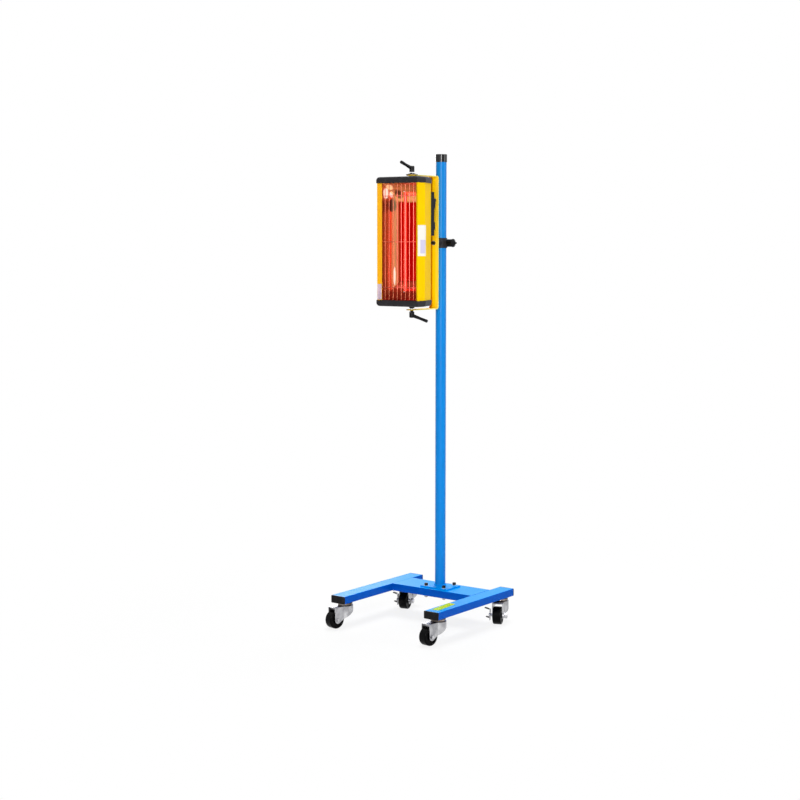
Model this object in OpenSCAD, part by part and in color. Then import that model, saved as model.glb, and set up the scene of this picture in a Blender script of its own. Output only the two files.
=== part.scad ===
// Infrared paint dryer: a lamp in a tilting yoke, clamped to a tall column on a rolling H-shaped base.
// The origin is on the floor below the column's axis. The lamp faces -Y and +Z is up.
// All sizes are in millimetres.

/* [Base] */
// Overall width across both rails
base_w = 465; // [420:1:600]
// Width of a rail tube
rail_w = 60; // [56:1:80]
// Height of the rail and cross tubes
rail_h = 27; // [25:1:40]
// Wall of the rail and cross tubes
rail_wall = 2; // [1.5:0.5:3]
// Column axis to the front ends of the rails
rail_front = 342; // [250:1:420]
// Column axis to the rear ends of the rails
rail_rear = 132; // [125:1:200]
// Cross tube from front to back
cross_d = 124; // [110:1:150]
// Middle of the cross tube behind the column axis
cross_back = 4; // [0:1:10]
// Corner radius of the tubes and their end caps
tube_corner = 3; // [2.5:0.5:5]
// Thickness of the end caps' faces
end_cap_t = 3; // [2:0.5:5]

/* [Column] */
// Outer diameter of the column tube
column_d = 38; // [34:0.5:42]
// Wall of the column tube
column_wall = 1.5; // [1.2:0.1:3]
// Length of the column tube
column_len = 1549; // [1480:1:1800]
// Height of the sleeve on the column's top
sleeve_h = 28; // [15:1:45]
// Wall of that sleeve
sleeve_wall = 1.5; // [1:0.1:3]
// Width of the foot flange
flange_w = 120; // [100:1:140]
// Depth of the foot flange
flange_d = 87; // [84:1:105]
// Thickness of the foot flange
flange_t = 5; // [4:0.5:8]
// Flange bolts from side to side
bolt_pitch_x = 78; // [72:1:82]
// Flange bolts from front to back
bolt_pitch_y = 66; // [62:1:66]
// Leg of the weld round the column's foot
weld_leg = 3.5; // [2:0.5:6]

/* [Bolts] */
// Diameter of the flange and yoke bolts
bolt_d = 8; // [6:0.5:9]
// Head diameter of the socket screws
head_d = 13; // [12:0.5:15]
// Head height of the socket screws
head_h = 8; // [5:0.5:10]
// Size across the flats of the nuts
nut_af = 13; // [12:0.5:15]
// Height of the nuts
nut_h = 6.5; // [5:0.5:8]
// Outer diameter of the flat washers
washer_d = 16; // [15:0.5:18]
// Thickness of the flat washers
washer_t = 1.6; // [1:0.1:2]

/* [Casters] */
// Diameter of a wheel
wheel_d = 63.5; // [50:0.5:75]
// Width of a wheel's tread
wheel_w = 31; // [18:0.5:34]
// Floor to the underside of the rails
caster_h = 88.5; // [86:0.5:110]
// Swivel axis to the wheel's axle
trail = 48; // [44:1:52]
// Gap between the tread and each cheek of the fork
cheek_gap = 1.5; // [1:0.5:4]
// Sheet thickness of the forks
fork_t = 2.5; // [2:0.1:3]
// Diameter of a fork's round hood
hood_d = 58; // [54:1:64]
// Height of a fork's hood at the back
hood_h = 12; // [8:1:30]
// Radius of a cheek's end round the axle
cheek_end_r = 13; // [10:0.5:15]
// Diameter of the fixed bearing race above the hood
race_d = 53; // [40:1:54]
// Height of the bearing race
race_h = 11.7; // [8:0.1:14]
// Diameter of the kingpin
kingpin_d = 10; // [8:0.5:12]
// Diameter of the axle bolts
axle_d = 8; // [6:0.5:10]
// Rail ends to the swivel axes
swivel_inset = 41; // [34:1:60]
// Rest turn of the front left caster in degrees
front_left_yaw = -12; // [-30:1:30]
// Rest turn of the front right caster in degrees
front_right_yaw = -8; // [-30:1:30]
// Rest turn of the rear left caster in degrees
rear_left_yaw = 14; // [-30:1:30]
// Rest turn of the rear right caster in degrees
rear_right_yaw = 22; // [-30:1:30]
// Rear fork's cheek to its brake lever
brake_gap = 8; // [4:0.5:12]
// Thickness of a brake lever
brake_t = 2; // [1.5:0.1:3]
// Length of a brake lever's upper foot tab
brake_tab = 20; // [12:1:28]
// Axle to the top of a brake lever
brake_rise = 22; // [16:1:28]

/* [Clamp] */
// Height of the clamp's middle above the floor
head_z = 1359.5; // [450:0.5:1395]
// Height of the clamp with its liner
clamp_h = 35.4; // [34:0.1:50]
// Wall of the liner between collar and column
liner_wall = 0.9; // [0.8:0.1:2]
// Wall of the collar
collar_wall = 2; // [2:0.1:5]
// Diameter of the collar's pad for the yoke
pad_d = 30; // [24:1:30]
// Diameter of the collar's boss for the clamping screw
boss_d = 27; // [20:1:28]
// Diameter of the clamping knob
knob_d = 27; // [24:1:34]
// Length of the clamping knob without its nub
knob_l = 23; // [18:1:35]
// Column axis to the back of the yoke
yoke_gap = 41.8; // [38:0.1:60]

/* [Yoke] */
// Width of the yoke bar
yoke_w = 38; // [30:1:46]
// Thickness of the yoke bar
yoke_t = 3; // [2.5:0.1:5]
// Front of the yoke's web to the pivot axis
yoke_reach = 131.7; // [128:0.1:160]
// Inside bend radius of the yoke bar
bend_r = 6; // [4:0.5:10]
// Lamp to the upper arm
gap_top = 5.5; // [4:0.1:14]
// Lamp to the lower arm
gap_bottom = 12; // [8:0.1:20]
// Middle of the lamp above the clamp's middle
lamp_rise = 4.2; // [-5:0.1:10]

/* [Lamp] */
// Height of the lamp with its end caps
lamp_h = 444; // [380:1:520]
// Height of one end cap
cap_h = 21; // [18:0.5:28]
// How far the end caps stand out round the housing
cap_lip = 3; // [2:0.5:5]
// Width of the housing in front
lamp_w = 172; // [160:1:186]
// Width of the housing at the back
back_w = 104; // [98:1:120]
// Pivot axis to the front of the housing
front_d = 86; // [82:1:92]
// Pivot axis to the back of the housing
back_d = 40.5; // [36:0.5:50]
// Depth of the housing's straight sides
side_d = 44; // [30:1:60]
// Sheet thickness of the housing
sheet_t = 1.5; // [1:0.1:2]
// Width of the lips beside the opening
lip_w = 13; // [10:0.5:16]
// Depth of the lips beside the opening
lip_d = 11; // [9:0.5:13]

/* [Heater] */
// Width of the reflector's flat back
mirror_back_w = 90; // [70:1:94]
// Depth of the reflector
mirror_d = 66; // [56:1:72]
// Sheet thickness of the reflector
mirror_t = 0.8; // [0.6:0.1:1.2]
// Diameter of the quartz tube
tube_d = 12; // [9:0.5:14]
// Length of the quartz tube
tube_len = 350; // [320:1:352]
// Wall of the quartz tube
tube_wall = 1.2; // [0.8:0.1:2]
// Quartz tube's axis behind the lips
tube_back = 37; // [30:1:42]
// Diameter of a grille wire
wire_d = 2.5; // [2:0.1:3.5]
// Spacing of the upright grille wires
wire_pitch = 18; // [12:0.5:22]
// Upright grille wires on each side of the middle one
wire_side = 3; // [2:1:3]
// Upper and lower cross wires from the middle one
cross_wire_z = 157; // [120:1:160]

/* [Controls] */
// Height of the control box
box_h = 150.5; // [140:0.5:180]
// Depth of the control box
box_d = 23.5; // [14:0.5:28]
// Top of the housing to the top of the control box
box_down = 29; // [15:1:60]
// Middle of the box to the switches
switch_x = 30; // [22:1:32]
// Top of the control box to the middle of the rocker
rocker_down = 42; // [30:0.5:60]
// Top of the control box to the middle of the timer dial
dial_down = 117; // [100:0.5:125]
// Height of the rocker's frame
rocker_h = 39; // [30:1:44]
// Width of the rocker's frame
rocker_w = 32; // [26:1:36]
// Rest tilt of the rocker in degrees
rocker_tilt = 12; // [6:1:13]
// Diameter of the timer dial's skirt
dial_d = 34; // [28:1:38]
// Height of the timer dial with its grip
dial_l = 24; // [12:0.5:26]
// Diameter of the cable that the gland takes
cable_d = 8; // [6:0.5:8.5]
// Length of the cable gland below the box
gland_l = 24; // [18:1:32]

/* [Levers] */
// Diameter of the studs in the pivots
stud_d = 6; // [5:0.5:8]
// Lever axis to the end of its arm
lever_l = 58; // [50:1:75]
// Rise of a lever's arm in degrees
lever_rise = 20; // [10:1:30]
// Diameter of a lever's hub
hub_d = 17.8; // [16:0.2:22]
// Height of a lever's hub
hub_h = 21; // [16:0.5:26]
// Direction of the top lever's arm in degrees
top_lever_turn = -95; // [-180:1:180]
// Direction of the bottom lever's arm in degrees
bottom_lever_turn = 18; // [-180:1:180]

/* [Hidden] */
$fn = 64;

// Radial clearance of turning and seated parts, of bolts in plain holes, and the gap between other faces
run_gap = 0.05;
hole_gap = 0.25;
face_gap = 0.3;
eps = 0.01;

// Heights of the stand
rail_top = caster_h + rail_h;
column_z = rail_top + flange_t;
column_top = column_z + column_len;

// Each caster's x, y and turn
rail_x = (base_w - rail_w) / 2;
swivel_front = swivel_inset - rail_front;
swivel_rear = rail_rear - swivel_inset;
front_left = [-rail_x, swivel_front, front_left_yaw];
front_right = [rail_x, swivel_front, front_right_yaw];
rear_left = [-rail_x, swivel_rear, rear_left_yaw];
rear_right = [rail_x, swivel_rear, rear_right_yaw];
casters = [front_left, front_right, rear_left, rear_right];

// Caster sizes, with heights measured from the underside of the rail
axle_z = wheel_d / 2 - caster_h;
roof_z = -race_h - face_gap;
cheek_out = wheel_w / 2 + cheek_gap + fork_t;

// Clamp radii
liner_in = column_d / 2 + run_gap;
liner_out = liner_in + liner_wall;
collar_in = liner_out + run_gap;
collar_out = collar_in + collar_wall;
rim_h = 2;
boss_x = collar_out + 8;
pad_washer_t = 1;

// Yoke and lamp places
web_y = -yoke_gap - yoke_t;
pivot_y = web_y - yoke_reach;
lamp_z = head_z + lamp_rise;
arm_top_z = lamp_z + lamp_h / 2 + gap_top;
arm_bottom_z = lamp_z - lamp_h / 2 - gap_bottom;
body_h = lamp_h - 2 * cap_h;
stud_r = stud_d / 2;
stud_depth = 14;
cup_h = 6.2;
top_hub_z = arm_top_z + yoke_t + cup_h + 3.6;
neck_l = 5.6;

// Heater places, from the pivot axis and the lamp's middle
lip_y = lip_d - front_d;
housing_path = concat([[lamp_w / 2 - lip_w, lip_y]], both(housing_half()), [[lip_w - lamp_w / 2, lip_y]]);
lip_back = mitre(housing_path, 0, sheet_t);
mirror_front = lip_back + [-mirror_t - run_gap, run_gap];
mirror_back_y = mirror_front[1] + mirror_d;
mirror_half = [mirror_front, [mirror_back_w / 2, mirror_back_y]];
tube_y = lip_y + tube_back;
wire_y = mirror_front[1] + wire_d / 4;
tube_end_r = tube_d / 2 + 1;
tube_end_l = 16;
tube_overlap = 4;
tube_end_top = tube_len / 2 - tube_overlap + tube_end_l;
plate_z = body_h / 2 - sheet_t;
holder_w = 22;
holder_corner = 2;
holder_bottom = min(tube_end_top, plate_z) - 6;
holder_top = max(tube_end_top + 2, plate_z + sheet_t);

// Cap screws, from the pivot axis
cap_screw_x = 54;
cap_screw_y = -8;
cap_screw_r = 2;

// Control places, from the pivot axis and the lamp's middle
box_top = body_h / 2 - box_down;
box_y = back_d + box_d;
rocker_z = box_top - rocker_down;
dial_z = box_top - dial_down;
rocker_pivot = 5;
frame_low = 7;
frame_high = 17.5;
frame_rim = 2;
trunnion_r = 1.5;
dial_shaft_r = 3;
gland_r = 6;

// Unit vector from a to b, and the same turned a quarter to the left
function unit(a, b) = (b - a) / norm(b - a);
function left(a, b) = [-unit(a, b)[1], unit(a, b)[0]];

// Point i of the open path p, moved to its left by t with mitred corners
function mitre(p, i, t) =
    i == 0 ? p[0] + t * left(p[0], p[1]) :
    i == len(p) - 1 ? p[i] + t * left(p[i - 1], p[i]) :
    let (a = left(p[i - 1], p[i]), b = left(p[i], p[i + 1])) p[i] + t * (a + b) / (1 + a * b);

// Outline of a sheet of thickness t along the path p
function band(p, t) = concat(p, [for (i = [len(p) - 1:-1:0]) mitre(p, i, t)]);

// A right half completed with its mirror image
function both(p) = concat(p, [for (i = [len(p) - 1:-1:0]) [-p[i][0], p[i][1]]]);

// Point where the line from p touches the circle of radius r round c on its left
function touch(p, c, r) =
    let (l = norm(c - p), a = atan2(c[1] - p[1], c[0] - p[0]) + asin(r / l))
    p + sqrt(l * l - r * r) * [cos(a), sin(a)];

// Right half of the housing's outline from front to back
function housing_half() = [[lamp_w / 2, -front_d], [lamp_w / 2, side_d - front_d], [back_w / 2, back_d]];

module round_rect(w, d, r) {
    square([w - 2 * r, d], center = true);
    square([w, d - 2 * r], center = true);
    for (x = [-1, 1], y = [-1, 1]) translate([x * (w / 2 - r), y * (d / 2 - r)]) circle(r);
}

module ring(outer_r, inner_r, h) {
    linear_extrude(h) difference() {
        circle(outer_r);
        circle(inner_r);
    }
}

module hexagon(af, h) {
    cylinder(h = h, d = af / cos(30), $fn = 6);
}

module nut(af, h, hole_r) {
    difference() {
        hexagon(af, h);
        translate([0, 0, -eps]) cylinder(h = h + 2 * eps, r = hole_r);
    }
}

// Half-section of a cylinder with one end rounded by the radius e
module dome_section(r, h, e) {
    square([r - e, h]);
    square([r, h - e]);
    translate([r - e, h - e]) circle(e);
}

module domed(r, h, e) {
    rotate_extrude() dome_section(r, h, e);
}

// Socket screw with its shank below z = 0 and its head above
module socket_screw(length) {
    socket_af = 6;
    edge = 1;
    difference() {
        union() {
            translate([0, 0, -length]) cylinder(h = length + eps, d = bolt_d);
            domed(head_d / 2, head_h, edge);
        }
        translate([0, 0, head_h / 2]) hexagon(socket_af, head_h);
    }
}

// Extrudes a side view, drawn as [y, z], between x0 and x1
module across(x0, x1) {
    translate([x0, 0, 0]) rotate([90, 0, 90]) linear_extrude(x1 - x0) children();
}

// Turns the z axis to the front, to the back or to the right
module to_front() rotate([90, 0, 0]) children();
module to_back() rotate([-90, 0, 0]) children();
module to_right() rotate([0, 90, 0]) children();

// Base: two rails, the cross tube between them, and their end caps

module box_tube(w, length) {
    linear_extrude(length, center = true) difference() {
        round_rect(w, rail_h, tube_corner);
        round_rect(w - 2 * rail_wall, rail_h - 2 * rail_wall, tube_corner - rail_wall / 2);
    }
}

module rail(x) {
    length = rail_front + rail_rear - 2 * end_cap_t;
    color("dodgerblue") translate([x, 0, caster_h]) difference() {
        translate([0, (rail_rear - rail_front) / 2, rail_h / 2]) to_front() box_tube(rail_w, length);
        for (y = [swivel_front, swivel_rear]) translate([0, y, -eps])
            cylinder(h = rail_wall + 2 * eps, d = kingpin_d + 2 * hole_gap);
    }
}

module flange_points() {
    for (x = [-1, 1], y = [-1, 1]) translate([x * bolt_pitch_x / 2, y * bolt_pitch_y / 2, 0]) children();
}

module cross_tube() {
    color("dodgerblue") translate([0, 0, caster_h]) difference() {
        translate([0, cross_back, rail_h / 2]) rotate([0, 0, 90]) to_front()
            box_tube(cross_d, base_w - 2 * rail_w);
        translate([0, 0, -eps]) flange_points() cylinder(h = rail_h + 2 * eps, r = bolt_d / 2 + hole_gap);
    }
}

// End cap with its face towards +Z and its hollow plug below
module end_cap() {
    plug_l = 14;
    plug_wall = 2;
    plug_w = rail_w - 2 * rail_wall - 2 * run_gap;
    plug_h = rail_h - 2 * rail_wall - 2 * run_gap;
    linear_extrude(end_cap_t) round_rect(rail_w, rail_h, tube_corner);
    translate([0, 0, -plug_l]) linear_extrude(plug_l + eps) difference() {
        round_rect(plug_w, plug_h, tube_corner - rail_wall / 2);
        round_rect(plug_w - 2 * plug_wall, plug_h - 2 * plug_wall, 1);
    }
}

module rail_end_caps() {
    color("black") for (x = [-rail_x, rail_x]) translate([x, 0, caster_h + rail_h / 2]) {
        translate([0, end_cap_t - rail_front, 0]) to_front() end_cap();
        translate([0, rail_rear - end_cap_t, 0]) to_back() end_cap();
    }
}

// Column on its flange, and the screws that hold the flange down

module column_flange() {
    weld_r = column_d / 2 + run_gap;
    color("dodgerblue") translate([0, 0, rail_top]) {
        difference() {
            linear_extrude(flange_t) round_rect(flange_w, flange_d, tube_corner);
            translate([0, 0, -eps]) flange_points()
                cylinder(h = flange_t + 2 * eps, r = bolt_d / 2 + hole_gap);
        }
        translate([0, 0, flange_t - eps]) rotate_extrude()
            polygon([[weld_r, 0], [weld_r + weld_leg, 0], [weld_r, weld_leg]]);
    }
}

module column() {
    outer_r = column_d / 2;
    color("dodgerblue") translate([0, 0, column_z]) ring(outer_r, outer_r - column_wall, column_len);
}

module column_sleeve() {
    crown_t = 2.5;
    edge = 1.5;
    inner_r = column_d / 2 + run_gap;
    color("black") translate([0, 0, column_top + crown_t - sleeve_h]) difference() {
        domed(inner_r + sleeve_wall, sleeve_h, edge);
        translate([0, 0, -eps]) cylinder(h = sleeve_h - crown_t + eps, r = inner_r);
    }
}

module flange_bolts() {
    thread_end = 2;
    length = washer_t + flange_t + rail_h + washer_t + nut_h + thread_end;
    color("black") translate([0, 0, column_z + washer_t]) flange_points() socket_screw(length);
}

module flange_washers() {
    color("silver") flange_points() for (z = [column_z, caster_h - washer_t])
        translate([0, 0, z]) ring(washer_d / 2, bolt_d / 2 + run_gap, washer_t);
}

module flange_nuts() {
    color("silver") flange_points() translate([0, 0, caster_h - washer_t - nut_h])
        nut(nut_af, nut_h, bolt_d / 2 + run_gap);
}

// Casters: a fixed race and kingpin under the rail, a hooded fork that swivels, and a wheel on a bolt

module at_swivel(c) {
    translate([c[0], c[1], caster_h]) rotate([0, 0, c[2]]) children();
}

module at_axle(c) {
    at_swivel(c) translate([0, -trail, axle_z]) children();
}

module caster_races() {
    shoulder = 3;
    pin_top = 12;
    rivet_r = 8;
    rivet_h = 3;
    pin_bottom = roof_z - fork_t - face_gap;
    color("dimgray") for (c = casters) at_swivel(c) {
        translate([0, 0, -race_h]) rotate_extrude() polygon([[0, 0], [race_d / 2 - shoulder, 0],
            [race_d / 2, shoulder], [race_d / 2, race_h - shoulder], [race_d / 2 - shoulder, race_h],
            [0, race_h]]);
        translate([0, 0, pin_bottom]) cylinder(h = pin_top - pin_bottom, d = kingpin_d);
        translate([0, 0, pin_bottom + eps]) mirror([0, 0, 1]) domed(rivet_r, rivet_h, 1);
    }
}

module caster_nuts() {
    height = 8;
    color("silver") for (c = casters) at_swivel(c) translate([0, 0, rail_wall])
        nut(kingpin_d + 7, height, kingpin_d / 2 + run_gap);
}

// Side view of a fork: hood at the top, slanting back edge, round end at the axle
module fork_side() {
    heel = [hood_d / 2 + fork_t, roof_z - hood_h];
    axle = [-trail, axle_z];
    front = -trail - cheek_end_r;
    polygon([[front, axle_z], axle, touch(heel, axle, cheek_end_r), heel, [heel[0], roof_z],
        [front, roof_z]]);
    translate(axle) circle(cheek_end_r);
}

// Plan of a fork's outside, or of its hollow when drawn in by d, running on past its open front
module fork_plan(d) {
    circle(hood_d / 2 - d);
    translate([d - cheek_out, -2 * trail]) square([2 * (cheek_out - d), 2 * trail]);
}

module fork(c) {
    color("gainsboro") at_swivel(c) difference() {
        intersection() {
            across(-hood_d, hood_d) fork_side();
            translate([0, 0, -caster_h]) linear_extrude(caster_h) fork_plan(0);
        }
        translate([0, 0, roof_z - fork_t - caster_h]) linear_extrude(caster_h) fork_plan(fork_t);
        translate([0, 0, -caster_h]) cylinder(h = caster_h, r = kingpin_d / 2 + run_gap);
        translate([-cheek_out - eps, -trail, axle_z]) to_right()
            cylinder(h = 2 * (cheek_out + eps), r = axle_d / 2 + run_gap);
    }
}

module wheel(c) {
    shoulder_r = 4;
    half = wheel_w / 2;
    hub_r = 9;
    hub_half = half + cheek_gap - face_gap;
    dish_r = wheel_d / 2 - 8;
    dish_d = 2.5;
    color("black") at_axle(c) to_right() rotate_extrude($fn = 96) difference() {
        union() {
            translate([0, -half]) square([wheel_d / 2 - shoulder_r, wheel_w]);
            translate([0, shoulder_r - half]) square([wheel_d / 2, wheel_w - 2 * shoulder_r]);
            for (y = [-1, 1]) translate([wheel_d / 2 - shoulder_r, y * (half - shoulder_r)])
                circle(shoulder_r);
            translate([0, -hub_half]) square([hub_r, 2 * hub_half]);
        }
        translate([0, -2 * half]) square([axle_d / 2 + run_gap, 4 * half]);
        for (y = [-half - eps, half - dish_d + eps]) translate([hub_r, y]) square([dish_r - hub_r, dish_d]);
    }
}

// Front axle: a bolt with its head on the right cheek and its nut on the left one
module axle(c) {
    thread_end = 2;
    axle_head_h = 5.3;
    start = -cheek_out - nut_h - thread_end;
    color("silver") at_axle(c) to_right() {
        translate([0, 0, start]) cylinder(h = cheek_out - start + eps, d = axle_d);
        translate([0, 0, cheek_out]) hexagon(axle_d + 5, axle_head_h);
        translate([0, 0, -cheek_out - nut_h]) nut(axle_d + 5, nut_h, axle_d / 2 + run_gap);
    }
}

// Rear axle: a low head outside the brake lever, a spacer inside it, and a large nut on a collar
module braked_axle(c) {
    low_head_r = 6.5;
    low_head_h = 3;
    spacer_r = axle_d / 2 + 1.5;
    collar_r = 7.5;
    collar_l = 5;
    big_nut_h = 9;
    thread_end = 1.5;
    hole_r = axle_d / 2 + run_gap;
    start = -cheek_out - brake_gap - brake_t - face_gap;
    end = cheek_out + collar_l + big_nut_h + thread_end;
    color("silver") at_axle(c) to_right() {
        translate([0, 0, start]) cylinder(h = end - start, d = axle_d);
        translate([0, 0, start + eps]) mirror([0, 0, 1]) domed(low_head_r, low_head_h, 1);
        translate([0, 0, face_gap - cheek_out - brake_gap]) ring(spacer_r, hole_r, brake_gap - face_gap);
        translate([0, 0, cheek_out]) ring(collar_r, hole_r, collar_l);
        translate([0, 0, cheek_out + collar_l]) nut(axle_d + 9, big_nut_h, hole_r);
    }
}

// Foot tab of the length l and the width w towards -X, with a rounded outer end
module foot_tab(l, w) {
    toe_r = 5;
    root = 0.5;
    linear_extrude(brake_t) {
        translate([toe_r - l, -w / 2]) square([l - toe_r + root, w]);
        translate([-l, toe_r - w / 2]) square([2 * toe_r, w - 2 * toe_r]);
        for (y = [-1, 1]) translate([toe_r - l, y * (w / 2 - toe_r)]) circle(toe_r);
    }
}

// Brake lever: a plate on the axle with a foot tab bent outwards above and a shorter one below
module brake(c) {
    plate_w = 14;
    tab_w = 13;
    eye_r = 9;
    drop = 19;
    low_tab_z = -11;
    low_tab = 0.75 * brake_tab;
    tab_slope = 15;
    color("gainsboro") at_axle(c) translate([-cheek_out - brake_gap - brake_t, 0, 0]) {
        difference() {
            across(0, brake_t) {
                circle(eye_r);
                translate([-plate_w / 2, -drop]) square([plate_w, drop + brake_rise]);
            }
            translate([-eps, 0, 0]) to_right() cylinder(h = brake_t + 2 * eps, r = axle_d / 2 + run_gap);
        }
        translate([0, 0, brake_rise - brake_t]) rotate([0, tab_slope, 0]) foot_tab(brake_tab, tab_w);
        translate([0, 0, low_tab_z]) rotate([0, tab_slope, 0]) foot_tab(low_tab, tab_w);
    }
}

// Clamp: a slit liner slides on the column, and the collar turns between the liner's rims

module clamp_liner() {
    slit = 2;
    color("dimgray") translate([0, 0, head_z]) difference() {
        union() {
            translate([0, 0, -clamp_h / 2]) ring(liner_out, liner_in, clamp_h);
            for (z = [-clamp_h / 2, clamp_h / 2 + face_gap - rim_h]) translate([0, 0, z])
                ring(collar_out, liner_in, rim_h - face_gap);
        }
        translate([-slit / 2, 0, -clamp_h]) cube([slit, column_d, 2 * clamp_h]);
    }
}

module clamp_collar() {
    height = clamp_h - 2 * rim_h;
    pad_y = yoke_gap - pad_washer_t;
    color("black") translate([0, 0, head_z]) difference() {
        union() {
            translate([0, 0, -height / 2]) cylinder(h = height, r = collar_out);
            to_front() cylinder(h = pad_y, d = pad_d);
            to_right() cylinder(h = boss_x, d = boss_d);
        }
        translate([0, 0, -clamp_h]) cylinder(h = 2 * clamp_h, r = collar_in);
        for (turn = [0, 90]) rotate([0, 0, turn]) to_front()
            cylinder(h = 2 * yoke_gap, r = bolt_d / 2 + run_gap);
    }
}

// Ridged knob with a flange and a nub at its outer end
module clamp_knob() {
    ridges = 20;
    ridge_r = 1.2;
    grip_l = 17;
    flange_r = knob_d / 2 + 1.2;
    nub_r = 3;
    nub_l = 12;
    edge = 1;
    color("black") translate([boss_x + edge, 0, head_z]) to_right() difference() {
        union() {
            cylinder(h = grip_l + eps, d = knob_d);
            translate([0, 0, grip_l]) rotate_extrude() polygon([[0, 0], [flange_r - edge, 0],
                [flange_r, edge], [flange_r, knob_l - grip_l - edge], [flange_r - edge, knob_l - grip_l],
                [nub_r + edge, knob_l - grip_l + nub_l / 2], [nub_r, knob_l - grip_l + nub_l],
                [0, knob_l - grip_l + nub_l]]);
        }
        for (i = [1:ridges]) rotate([0, 0, i * 360 / ridges]) translate([knob_d / 2 + edge / 2, 0, -eps])
            cylinder(h = grip_l - edge, r = ridge_r, $fn = 24);
        translate([0, 0, -eps]) cylinder(h = grip_l, r = bolt_d / 2 + run_gap);
    }
}

module clamp_screw() {
    start = liner_out + 1.15 * face_gap;
    color("silver") translate([start, 0, head_z]) to_right()
        cylinder(h = boss_x + knob_l / 2 - start, d = bolt_d);
}

module roll_bolt() {
    tip_y = collar_in + 2;
    seat_y = run_gap + washer_t - web_y;
    color("black") translate([0, -seat_y, head_z]) to_front() socket_screw(seat_y - tip_y);
}

module roll_washers() {
    hole_r = bolt_d / 2 + run_gap;
    color("silver") {
        translate([0, web_y - run_gap, head_z]) to_front() ring(washer_d / 2, hole_r, washer_t);
        translate([0, pad_washer_t - yoke_gap, head_z]) to_front()
            ring(pad_d / 2 - 1, hole_r, pad_washer_t - run_gap);
    }
}

// Yoke: one flat bar bent to a U with round ends, drilled for the roll bolt and the two studs

module yoke() {
    height = arm_top_z - arm_bottom_z;
    reach = 2 * yoke_reach;
    color("gold") difference() {
        intersection() {
            translate([0, web_y - reach / 2, (arm_top_z + arm_bottom_z) / 2])
                across(-yoke_w / 2, yoke_w / 2) difference() {
                    round_rect(reach + 2 * yoke_t, height + 2 * yoke_t, bend_r + yoke_t);
                    round_rect(reach, height, bend_r);
                }
            translate([0, pivot_y, arm_bottom_z - height]) linear_extrude(3 * height) {
                circle(yoke_w / 2);
                translate([-yoke_w, 0]) square([2 * yoke_w, reach]);
            }
        }
        translate([0, pivot_y, arm_bottom_z - 2 * yoke_t])
            cylinder(h = height + 4 * yoke_t, r = stud_r + run_gap);
        translate([0, 0, head_z]) to_front() cylinder(h = 2 * yoke_gap, r = bolt_d / 2 + run_gap);
    }
}

module cup_washer() {
    wide_r = 21;
    narrow_r = 7;
    sheet = 1.2;
    hole_r = stud_r + hole_gap;
    color("black") translate([0, pivot_y, arm_top_z + yoke_t]) rotate_extrude() polygon([[wide_r, 0],
        [wide_r, sheet], [narrow_r, cup_h], [hole_r, cup_h], [hole_r, cup_h - sheet],
        [narrow_r - sheet / 2, cup_h - sheet], [wide_r - 2 * sheet, 0]]);
}

// Clamping lever with its hub standing on z = 0 and its arm rising towards +X
module lever() {
    root_r = 6.6;
    waist_r = 4.9;
    tip_r = 5.6;
    tip_edge = 2.6;
    root_z = 12;
    edge = 4;
    reach = (lever_l - tip_r) / cos(lever_rise);
    difference() {
        union() {
            domed(hub_d / 2, hub_h, edge);
            translate([0, 0, root_z]) rotate([0, 90 - lever_rise, 0]) rotate_extrude() {
                polygon([[0, 0], [root_r, 0], [waist_r, 0.6 * reach], [tip_r, reach], [0, reach]]);
                translate([0, reach]) dome_section(tip_r, tip_r, tip_edge);
            }
        }
        translate([0, 0, -eps]) cylinder(h = root_z, r = stud_r + run_gap);
    }
}

module top_lever() {
    color("black") translate([0, pivot_y, top_hub_z]) rotate([0, 0, top_lever_turn]) lever();
}

module bottom_lever() {
    neck_r = 5.75;
    color("black") translate([0, pivot_y, arm_bottom_z - yoke_t]) rotate([0, 0, bottom_lever_turn])
        mirror([0, 0, 1]) {
            translate([0, 0, neck_l]) lever();
            translate([0, 0, run_gap]) ring(neck_r, stud_r + run_gap, neck_l);
        }
}

module top_stud() {
    start = lamp_z + lamp_h / 2 - stud_depth + face_gap;
    color("silver") translate([0, pivot_y, start]) cylinder(h = top_hub_z + hub_h / 2 - start, r = stud_r);
}

module bottom_stud() {
    start = arm_bottom_z - yoke_t - neck_l - hub_h / 2;
    end = lamp_z - lamp_h / 2 + stud_depth - face_gap;
    color("silver") translate([0, pivot_y, start]) cylinder(h = end - start, r = stud_r);
}

// Lamp housing: one folded sheet with lips beside the opening, end plates, and a moulded cap on each end

module in_lamp() {
    translate([0, pivot_y, lamp_z]) children();
}

// Draws its children at the lamp's top and, mirrored, at its bottom
module both_ends() {
    in_lamp() for (side = [0, 1]) mirror([0, 0, side]) children();
}

module lamp_housing() {
    wire_hole_r = 10;
    color("gold") in_lamp() difference() {
        linear_extrude(body_h, center = true) polygon(band(housing_path, sheet_t));
        translate([0, 0, box_top - box_h / 2]) to_back() cylinder(h = 2 * back_d, r = wire_hole_r);
    }
}

module end_plates() {
    inset = sheet_t + run_gap;
    front_y = mirror_front[1] + 3;
    path = concat([[0, -front_d]], housing_half(), [[0, back_d]]);
    inner = [mitre(path, 1, inset), mitre(path, 2, inset), mitre(path, 3, inset)];
    color("gold") both_ends() translate([0, 0, plate_z]) difference() {
        linear_extrude(sheet_t) intersection() {
            polygon(both(inner));
            translate([-lamp_w / 2, front_y]) square([lamp_w, lamp_w]);
        }
        for (x = [-1, 1]) translate([x * cap_screw_x, cap_screw_y, -eps])
            cylinder(h = sheet_t + 2 * eps, r = cap_screw_r + run_gap);
        translate([0, tube_y, -eps]) linear_extrude(sheet_t + 2 * eps) holder_outline(run_gap);
    }
}

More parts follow.
